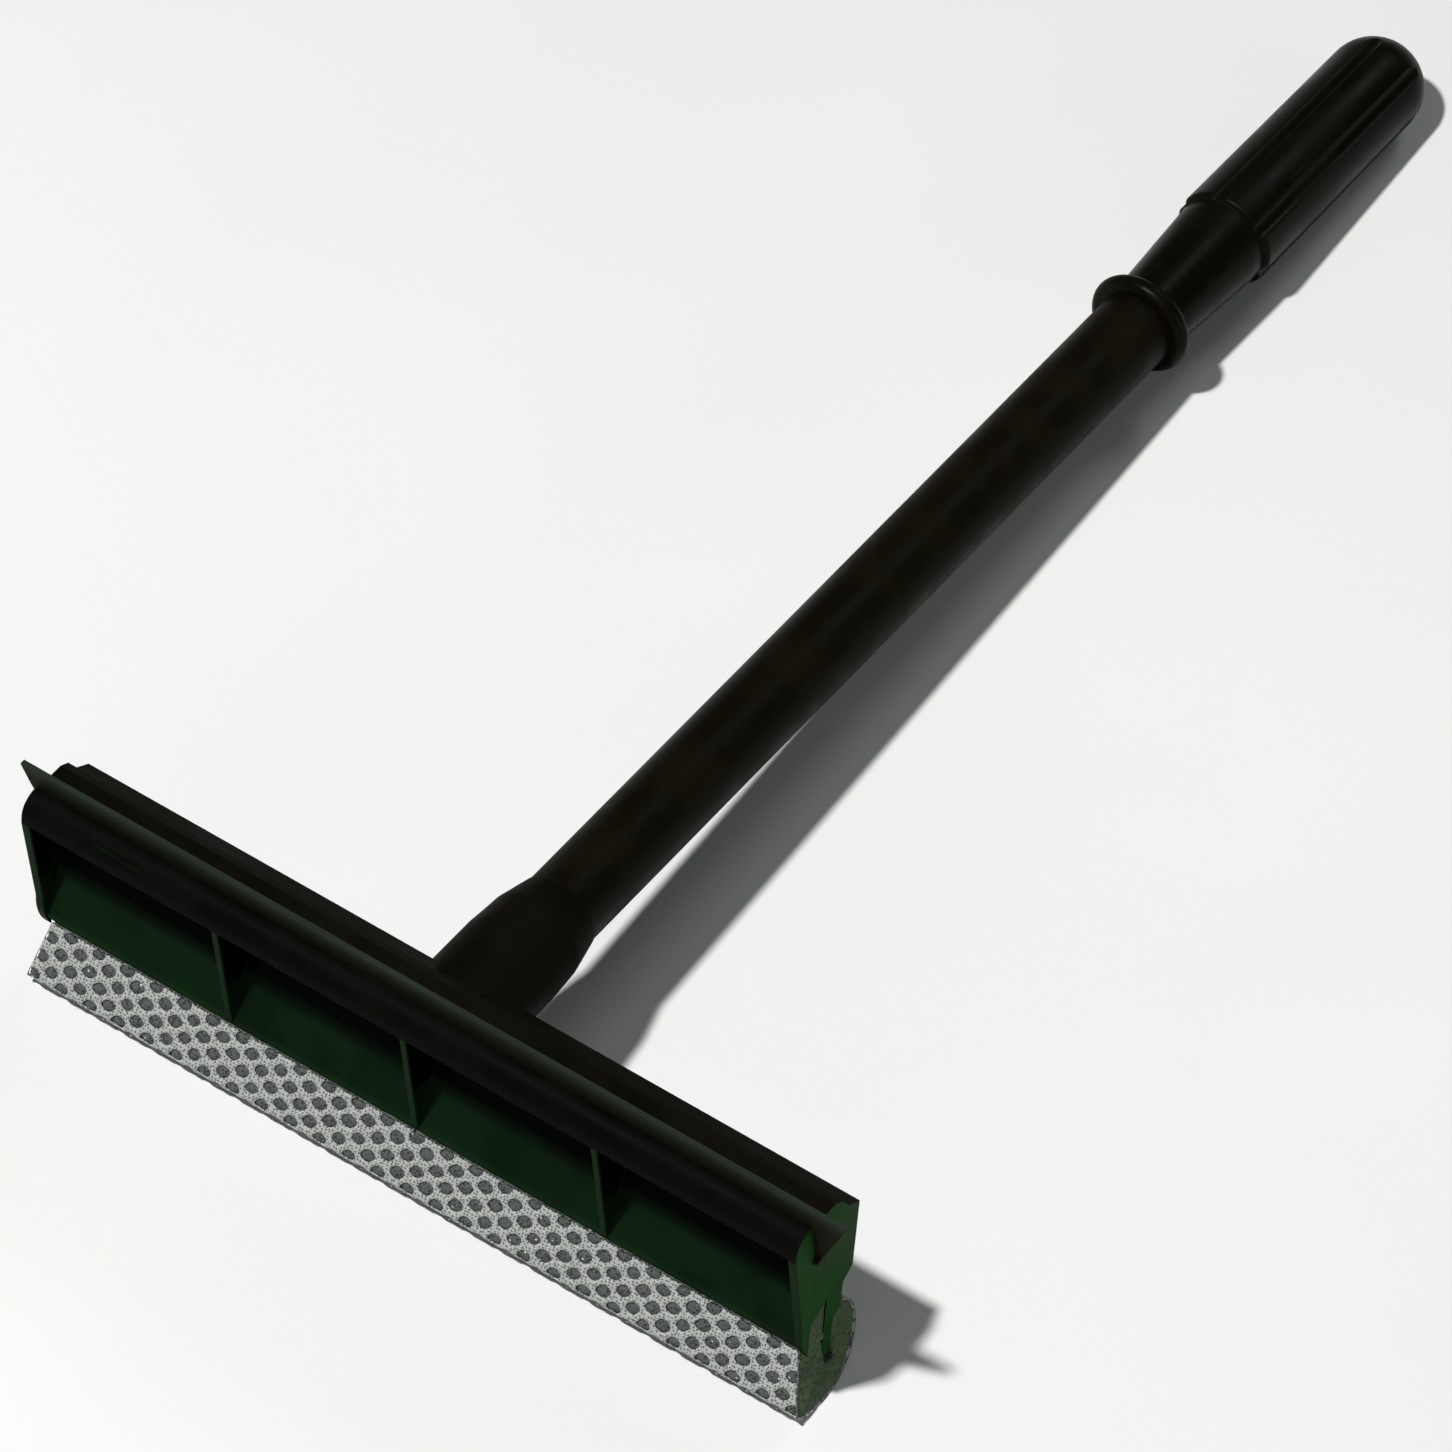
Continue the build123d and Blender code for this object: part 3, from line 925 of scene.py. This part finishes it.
@dataclass(frozen=True)
class NetLattice:
    """Where the net's holes are: columns along the head, every other one half a row down."""

    column: float = 3.9
    row: float = 5.6
    first_u: float = 0.0
    first_v: float = 1.2
    hole: float = 1.62
    squareness: float = 2.6
    lean: float = -0.25
    drift: float = 0.2

    def warp(self, u: np.ndarray, v: np.ndarray) -> tuple[np.ndarray, np.ndarray]:
        """Lean the knit's columns, and drift each direction by two slow noise waves.

        Args:
            u: distances along the head.
            v: distances round the pad.

        Returns:
            The drifted u and v.
        """
        flat = np.stack([np.ravel(u) / 9, np.ravel(v) / 9, np.zeros(np.size(u))], axis=1)
        quick = flat * 3.1
        along = lattice_noise(flat, 3) + 0.5 * lattice_noise(quick, 5)
        round_it = lattice_noise(flat, 7) + 0.5 * lattice_noise(quick, 11)
        shape = np.shape(u)
        leaning = u + self.lean * v
        return leaning + self.drift * along.reshape(shape), v + self.drift * round_it.reshape(shape)

    def unwarp(self, u: np.ndarray, v: np.ndarray) -> tuple[np.ndarray, np.ndarray]:
        """Undo warp, near enough: take off the lean, then the drift found there.

        Args:
            u: distances along the head.
            v: distances round the pad.

        Returns:
            The lattice's own u and v.
        """
        upright = u - self.lean * v
        moved_u, moved_v = self.warp(upright, v)
        return upright - (moved_u - u), 2 * v - moved_v

    def outline(self, angle: np.ndarray) -> np.ndarray:
        """How far a hole's edge is at an angle, as a share: |cos|^p + |sin|^p = share^-p.

        Args:
            angle: angles about the hole's middle.

        Returns:
            Shares of the hole's radius.
        """
        power = self.squareness
        total = np.abs(np.cos(angle)) ** power + np.abs(np.sin(angle)) ** power
        return total ** (-1 / power)

    def centres(self, half: float, length: float) -> tuple[np.ndarray, np.ndarray, np.ndarray]:
        """Every cell that reaches the sheet, and its place in the lattice.

        Args:
            half: half the sheet's length.
            length: the distance round the pad.

        Returns:
            The centres' u and v, and a number for each cell.
        """
        reach = half + abs(self.lean) * length
        columns = np.arange(-int(reach / self.column) - 2, int(reach / self.column) + 3)
        rows = np.arange(-2, int(length / self.row) + 3)
        column, row = (part.ravel() for part in np.meshgrid(columns, rows, indexing="ij"))
        u = self.first_u + column * self.column
        v = self.first_v + (row + 0.5 * (column % 2)) * self.row
        placed = u + self.lean * v
        near = (np.abs(placed) < half + self.column) & (v > -self.row) & (v < length + self.row)
        return u[near], v[near], (column * 1009 + row * 9176)[near]

    def from_hole(self, u: np.ndarray, v: np.ndarray) -> np.ndarray:
        """The distance from each point to the middle of the nearest hole.

        Args:
            u: distances along the head.
            v: distances round the pad.

        Returns:
            Distances in millimetres.
        """
        best = np.full(np.shape(u), np.inf)
        guess = np.round((u - self.first_u) / self.column)
        for step in (-1, 0, 1):
            column = guess + step
            shift = 0.5 * (column % 2)
            row = np.round((v - self.first_v) / self.row - shift)
            du = u - self.first_u - column * self.column
            dv = v - self.first_v - (row + shift) * self.row
            best = np.minimum(best, np.hypot(du, dv))
        return best


@dataclass
class ScrubPad:
    """The sponge and the net that is pulled over it."""

    axes: HeadAxes
    section: PadSection = PadSection()
    lattice: NetLattice = NetLattice()
    yarn_height: float = 0.56
    corner_samples: int = 4
    voxel: float = 0.65
    dome: float = 0.34
    press: float = 0.12
    ring_shares: tuple[float, ...] = (0.0, 0.55, 0.93, 1.0, 0.0)
    ring_heights: tuple[float, ...] = (1.0, 0.96, 0.62, 0.28, 0.0)
    cover_reach: float = 0.8
    end_margin: float = 0.9
    end_fade: float = 0.5
    tears: tuple[tuple[float, float, int], ...] = ((0.16, 0.9, 23), (0.12, 2.4, 29))
    tear_offset: float = 7.0
    tear_inset: float = 0.1

    def build_net(self) -> bpy.types.Object:
        """Make the net: one ring of yarn round each hole, welded to its neighbours.

        Each ring runs from the shared edge of its six-sided cell, over the top of the
        yarn, down inside the hole and back underneath, and each of its points is the
        cell's edge point moved towards the hole's own round edge by a share.

        Returns:
            The net.
        """
        line = CoveredLine(self.section)
        lattice = self.lattice
        u0, v0, number = lattice.centres(self.section.half_bottom, line.length)
        corners = self.cell_corners()
        steps = np.arange(self.corner_samples) / self.corner_samples
        rim = np.concatenate([
            corners[k] * (1 - s) + corners[(k + 1) % 6] * s
            for k in range(6) for s in steps[:, None, None]
        ]).reshape(-1, 2)
        angle = np.arctan2(rim[:, 1], rim[:, 0])
        odd = np.stack([number * 0.37, number * 0.11, np.zeros(len(number))], axis=1)
        size = lattice.hole * (1 + 0.09 * lattice_noise(odd, 17))
        squash = 1.03 + 0.06 * lattice_noise(odd + 41.3, 19)
        shape = lattice.outline(angle - 0.35)
        hole_u = size[:, None] * squash[:, None] * np.cos(angle) * shape
        hole_v = size[:, None] / squash[:, None] * np.sin(angle) * shape
        shares = np.array(self.ring_shares)[:, None]
        heights = np.array(self.ring_heights) * self.yarn_height
        grid_u = u0[:, None, None] + rim[:, 0] * (1 - shares) + hole_u[:, None] * shares
        grid_v = v0[:, None, None] + rim[:, 1] * (1 - shares) + hole_v[:, None] * shares
        grid_u, grid_v = lattice.warp(grid_u, grid_v)
        lift = np.broadcast_to(heights[:, None], grid_u.shape)
        grid_v = np.clip(grid_v, 0, line.length)
        h, n = line.at(grid_v, lift)
        limit = self.section.half_length(n)
        grid_u = np.clip(grid_u, -limit, limit)
        points = self.axes.place(grid_u + self.section.middle_x, h, n)
        faces = self.ring_faces(len(u0), len(shares), len(rim))
        rims = self.open_rims(grid_u, grid_v, len(shares), len(rim))
        piece = mesh_piece("scrub_netting", points, np.concatenate([faces, rims]))
        self.map_net(piece, line)
        return piece

    def cell_corners(self) -> np.ndarray:
        """The six corners of a cell: points as far from three neighbouring holes.

        Returns:
            Six points about the cell's centre, in order round it.
        """
        column, row = self.lattice.column, self.lattice.row
        low = row / 2
        side = (column**2 + low**2) / (2 * column)
        inner = (column**2 - low**2) / (2 * column)
        # The corner beside the hole is on its own row, and the others are half a row off it
        return np.array([
            (side, 0.0), (inner, low), (-inner, low), (-side, 0.0), (-inner, -low), (inner, -low),
        ])

    @staticmethod
    def ring_faces(cells: int, rings: int, around: int) -> np.ndarray:
        """Quads between the neighbouring points of every cell's rings.

        Args:
            cells: how many cells.
            rings: how many rings in a cell.
            around: how many points in a ring.

        Returns:
            The faces.
        """
        k = np.arange(around)
        after = (k + 1) % around
        ring = np.arange(rings - 1)[:, None] * around
        quad = np.stack([ring + k, ring + after, ring + around + after, ring + around + k], axis=-1)
        start = (np.arange(cells) * rings * around)[:, None, None, None]
        return (start + quad[None]).reshape(-1, 4)

    @staticmethod
    def open_rims(u: np.ndarray, v: np.ndarray, rings: int, around: int) -> np.ndarray:
        """Quads that close the sheet's own edge, from the top ring to the bottom one.

        Args:
            u: the grid's u.
            v: the grid's v.
            rings: how many rings in a cell.
            around: how many points in a ring.

        Returns:
            The faces.
        """
        k = np.arange(around)
        after = (k + 1) % around
        start = (np.arange(len(u)) * rings * around)[:, None]
        top = np.stack([start + k, start + after], axis=-1).reshape(-1, 2)
        bottom = top + (rings - 1) * around
        place = np.round(np.stack([u.ravel(), v.ravel()], axis=1), 4)
        ends = place[top]
        order = np.lexsort((ends[..., 1], ends[..., 0]), axis=1)
        keys = np.take_along_axis(ends, order[..., None], axis=1).reshape(len(top), 4)
        _, inverse, count = np.unique(keys, axis=0, return_inverse=True, return_counts=True)
        alone = count[np.ravel(inverse)] == 1
        return np.stack([top[alone, 1], top[alone, 0], bottom[alone, 0], bottom[alone, 1]], axis=1)

    def map_net(self, piece: bpy.types.Object, line: CoveredLine) -> None:
        """Give the net a map in centimetres: along the head, and round the pad.

        Args:
            piece: the net.
            line: the covered line.
        """
        mesh = piece.data
        flat = np.zeros(len(mesh.vertices) * 3)
        mesh.vertices.foreach_get("co", flat)
        x, h, n = self.axes.measure(flat.reshape(-1, 3)).T
        v, _ = line.nearest(h, n)
        corner = np.zeros(len(mesh.loops), np.int32)
        mesh.loops.foreach_get("vertex_index", corner)
        layer = mesh.uv_layers.new(name="weave")
        layer.data.foreach_set("uv", (np.stack([x, v], axis=1) / 10)[corner].ravel())

    def build_foam(self) -> bpy.types.Object:
        """Make the sponge as one block whose surface swells through the net's holes.

        The block is remeshed to small even faces. Then, under the net, each point moves
        out by dome (1 - (r / hole)^2) inside a hole and in by press under the yarn, and
        at the cut ends it moves by noise, so that the torn cells show. A small block at
        the right end widens the clamped leg there, beside the front frame.

        Returns:
            The sponge.
        """
        line = CoveredLine(self.section)
        loop = np.concatenate([line.points[::3], np.array(self.section.clamped)])
        half = self.section.half_bottom
        grow = half / self.section.half_top
        body, faces = self.prism(loop, -half, half, 0)
        leg, leg_faces = self.prism(np.array(self.section.leg_end), self.section.leg_from * grow,
                                    self.section.leg_to * grow, len(body))
        mesh = bpy.data.meshes.new("sponge_block")
        mesh.from_pydata(np.concatenate([body, leg]).tolist(), [], faces + leg_faces)
        raw = bpy.data.objects.new("sponge_block", mesh)
        bpy.context.scene.collection.objects.link(raw)
        even = raw.modifiers.new("even", "REMESH")
        even.mode = "VOXEL"
        even.voxel_size = self.voxel * MM
        seen = raw.evaluated_get(bpy.context.evaluated_depsgraph_get())
        raw.modifiers.clear()
        raw.data = bpy.data.meshes.new_from_object(seen)
        self.swell(raw.data, line)
        raw.data.shade_smooth()
        return raw

    def prism(self, outline: np.ndarray, left: float, right: float, first: int
              ) -> tuple[np.ndarray, list[list[int]]]:
        """A straight block along the head, with flat ends.

        Args:
            outline: its section, with columns h and n.
            left: the x of its left end.
            right: the x of its right end.
            first: the number of its first point.

        Returns:
            Its points in the row frame, and its faces.
        """
        around = len(outline)
        x = np.repeat([left, right], around)
        points = self.axes.place(x, np.tile(outline[:, 0], 2), np.tile(outline[:, 1], 2))
        k = np.arange(around) + first
        after = np.roll(k, -1)
        sides = np.stack([k, after, after + around, k + around], axis=1)
        return points, [*sides.tolist(), k[::-1].tolist(), (k + around).tolist()]

    def swell(self, mesh: bpy.types.Mesh, line: CoveredLine) -> None:
        """Move the remeshed sponge's points as build_foam says, then clear the tongue.

        Args:
            mesh: the sponge's mesh.
            line: the covered line.
        """
        flat = np.zeros(len(mesh.vertices) * 3)
        mesh.vertices.foreach_get("co", flat)
        x, h, n = self.axes.measure(flat.reshape(-1, 3)).T
        half = self.section.half_bottom
        limit = self.section.half_length(n)
        x = x * limit / half
        v, gap = line.nearest(h, n)
        on_line = np.clip(1 - gap / self.cover_reach, 0, 1) * (np.abs(x) < limit - self.end_margin)
        r = self.lattice.from_hole(*self.lattice.unwarp(x, v))
        inside = np.clip(1 - (r / self.lattice.hole) ** 2, 0, 1)
        lift = np.where(inside > 0, self.dome * inside, 0) - self.press * (inside == 0)
        away_h = np.interp(v, line.reach, line.away[:, 0])
        away_n = np.interp(v, line.reach, line.away[:, 1])
        h = h + on_line * lift * away_h
        n = n + on_line * lift * away_n
        cut = np.clip((np.abs(x) - limit + self.end_margin) / self.end_fade, 0, 1)
        fine = np.stack([h, n, np.sign(x) * self.tear_offset], axis=1)
        rough = sum(deep * lattice_noise(fine / cell, seed) for deep, cell, seed in self.tears)
        x = x + np.sign(x) * cut * (rough - self.tear_inset) + self.section.middle_x
        h, n = self.section.clear_of_tongue(h, n)
        mesh.vertices.foreach_set("co", self.axes.place(x, h, n).ravel())
        mesh.update()

    def cloth_area(self) -> tuple[float, float, float]:
        """The net's flat width, length and the area of its cloth without the holes.

        Returns:
            Metres, metres and square metres.
        """
        line = CoveredLine(self.section)
        width, length = 2 * self.section.half_bottom * MM, line.length * MM
        cell = self.lattice.column * self.lattice.row
        open_share = np.pi * self.lattice.hole**2 / cell
        return width, length, width * length * (1 - open_share)

    def dress(self, effects: Effects) -> None:
        """Build both pieces, give them their finishes and put them on the tool.

        Args:
            effects: the shared shader groups.
        """
        foam = self.build_foam()
        foam.data.materials.clear()
        foam.data.materials.append(SpongeFoam().material(effects))
        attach(foam, Body.TOOL.value)
        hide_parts("foam_pad")
        LOG.info("sponge: %d faces", len(foam.data.polygons))
        net = self.build_net()
        net.data.materials.append(NetYarn().material(effects))
        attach(net, Body.TOOL.value)
        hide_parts("scrub_net")
        width, length, area = self.cloth_area()
        faces = len(net.data.polygons)
        LOG.info("net: %d faces, cut %.1f by %.1f mm", faces, width / MM, length / MM)


@dataclass
class Mouldings:
    """The CAD nodes whose shapes stay: both halves of the head, blade, tube and grip."""

    axes: HeadAxes
    lean: float = 11.4
    face_corner: tuple[float, float] = (-24.0, 10.6)
    blade_foot: tuple[float, float] = (-15.1, 5.0)
    blade_reach: float = 18.2
    handle_tilt: float = 4.81

    def finish(self, node: str, material: bpy.types.Material) -> None:
        """Put one material on a CAD node.

        Args:
            node: the node's name.
            material: its finish.
        """
        data = frame["nodes"][node].data
        data.materials.clear()
        data.materials.append(material)
        LOG.info("%s: %s", node, material.name)

    def dress(self, effects: Effects) -> None:
        """Give every CAD node that stays its finish.

        Args:
            effects: the shared shader groups.
        """
        low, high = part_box("back_body")
        middle, half = (low.x + high.x) / 2, (high.x - low.x) / 2
        turn = (radians(self.handle_tilt), 0.0, 0.0)
        # painted light: green on the head's end faces, standing in for the green light falling on
        # them from the right
        end_colour_and_light = (0.0095, 0.046, 0.008, 1.0)
        # the paler green of the scuffs and of the painted edge highlight
        rub_and_highlight = (0.008, 0.019, 0.008, 1.0)
        back = MouldedPlastic("head_back_plastic", (0.0042, 0.0037, 0.0021, 1.0), rub_and_highlight,
                              stretch=(60.0, 900.0, 900.0))
        lean, origin = radians(self.lean), self.axes.origin
        into = cos(lean) * self.axes.along + sin(lean) * self.axes.upright
        face_h, face_n = self.face_corner
        face = self.axes.place(np.array(0.0), np.array(face_h), np.array(face_n))[0]
        front = FrontPlastic("head_front_plastic", (0.0034, 0.0118, 0.0042, 1.0), rub_and_highlight,
                             stretch=(60.0, 900.0, 900.0), edge_rub_and_highlight=0.8,
                             up=tuple(self.axes.upright), back=tuple(into),
                             jaw_level=float(origin @ self.axes.upright) + face_n * MM,
                             face_level=float(face @ into))
        tube = MouldedPlastic("tube_plastic", (0.0046, 0.0037, 0.0014, 1.0),
                              (0.012, 0.010, 0.006, 1.0), gloss=0.035, fineness=3200.0,
                              stretch=(1500.0, 30.0, 1500.0), turn=turn, scuff=0.4)
        grip = MouldedPlastic("grip_plastic", (0.0034, 0.0028, 0.0012, 1.0),
                              (0.014, 0.012, 0.008, 1.0), gloss=0.045, smooth=0.28, rough=0.42,
                              turn=turn, edge_rub_and_highlight=0.45)
        painted_end_light = (middle, half, end_colour_and_light)
        self.finish("back_body", back.material(effects, painted_end_light))
        self.finish("front_frame", front.material(effects, painted_end_light))
        self.finish("handle_tube", tube.material(effects))
        self.finish("hand_grip", grip.material(effects))
        h, n = self.blade_foot
        foot = self.axes.place(np.array(0.0), np.array(h), np.array(n))[0]
        reach = -sin(lean) * self.axes.along + cos(lean) * self.axes.upright
        rubber = BladeRubber().material(effects, foot, reach, self.blade_reach * MM)
        self.finish("rubber_blade", rubber)


# ---------------------------------------------------------------- studio


@dataclass(frozen=True)
class SoftLight:
    """One square soft light, aimed at the object."""

    name: str
    place: tuple[float, float, float]
    size: float
    power: float
    colour: tuple[float, float, float] = (1.0, 1.0, 1.0)

    def build(self, aim: Vector) -> None:
        """Make the light.

        Args:
            aim: the point it faces.
        """
        data = bpy.data.lights.new(self.name, "AREA")
        data.shape = "SQUARE"
        data.size = self.size
        data.energy = self.power
        data.color = self.colour
        lamp = bpy.data.objects.new(self.name, data)
        bpy.context.scene.collection.objects.link(lamp)
        lamp.location = self.place
        lamp.rotation_euler = (aim - Vector(self.place)).to_track_quat("-Z", "Y").to_euler()


@dataclass(frozen=True)
class Studio:
    """The floor, the lights and the camera."""

    azimuth: float = 33.8565
    elevation: float = 50.7434
    roll: float = 1.3146
    distance: float = 2.19358
    aim: tuple[float, float, float] = (-0.0070273, -0.0716565, 0.030)
    lens: float = 245.913
    sensor: float = 36.0
    floor_half: float = 4.0
    floor_cells: int = 8
    world: float = 0.06
    lights: tuple[SoftLight, ...] = (
        SoftLight("key", (-0.354, -1.027, 2.42), 0.14, 70.0, (1.0, 0.99, 0.97)),
        SoftLight("front_fill", (0.6, -2.4, 1.2), 1.6, 2.5, (0.97, 1.0, 0.98)),
        SoftLight("side_fill", (2.2, 0.1, 0.5), 1.0, 6.5, (0.82, 1.0, 0.82)),
        SoftLight("rim", (0.3, 2.2, 2.2), 0.8, 10.0, (0.94, 0.97, 1.0)),
    )

    def build_floor(self) -> None:
        """Make the floor as a fine square sheet."""
        line = self.floor_cells + 1
        side = np.linspace(-self.floor_half, self.floor_half, line)
        x, y = (part.ravel() for part in np.meshgrid(side, side, indexing="ij"))
        points = np.stack([x, y, np.zeros(len(x))], axis=1)
        k = np.arange(self.floor_cells)
        first = (k[:, None] * line + k).ravel()
        faces = np.stack([first, first + line, first + line + 1, first + 1], axis=1)
        floor = mesh_piece("floor", points, faces)
        floor.data.materials.append(FloorPaint().material())

    def build_camera(self) -> None:
        """Make the camera: it looks at the aim from its azimuth and elevation, rolled."""
        a, e, r = (radians(v) for v in (self.azimuth, self.elevation, self.roll))
        back = Vector((sin(a) * cos(e), -cos(a) * cos(e), sin(e)))
        right = Vector((0, 0, 1)).cross(back).normalized()
        up = back.cross(right)
        turned = cos(r) * right + sin(r) * up
        above = -sin(r) * right + cos(r) * up
        data = bpy.data.cameras.new("camera")
        data.lens = self.lens
        data.sensor_width = self.sensor
        data.clip_end = 50.0
        camera = bpy.data.objects.new("camera", data)
        bpy.context.scene.collection.objects.link(camera)
        rotation = Matrix((turned, above, back)).transposed().to_4x4()
        camera.matrix_world = Matrix.Translation(Vector(self.aim) + back * self.distance) @ rotation
        bpy.context.scene.camera = camera

    def build(self) -> None:
        """Make the floor, world, lights and camera."""
        self.build_floor()
        self.build_camera()
        for light in self.lights:
            light.build(Vector(self.aim))
        world = bpy.data.worlds.new("studio")
        world.use_nodes = True
        sky = world.node_tree.nodes["Background"]
        sky.inputs["Color"].default_value = (1.0, 1.0, 1.0, 1.0)
        sky.inputs["Strength"].default_value = self.world
        bpy.context.scene.world = world
        bpy.context.scene.view_settings.view_transform = "Standard"


def main() -> None:
    """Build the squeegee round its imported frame, then the studio."""
    axes = HeadAxes.from_record(frame["record"])
    effects = Effects()
    Studio().build()
    Mouldings(axes).dress(effects)
    ScrubPad(axes).dress(effects)


if __name__ == "__main__":
    main()
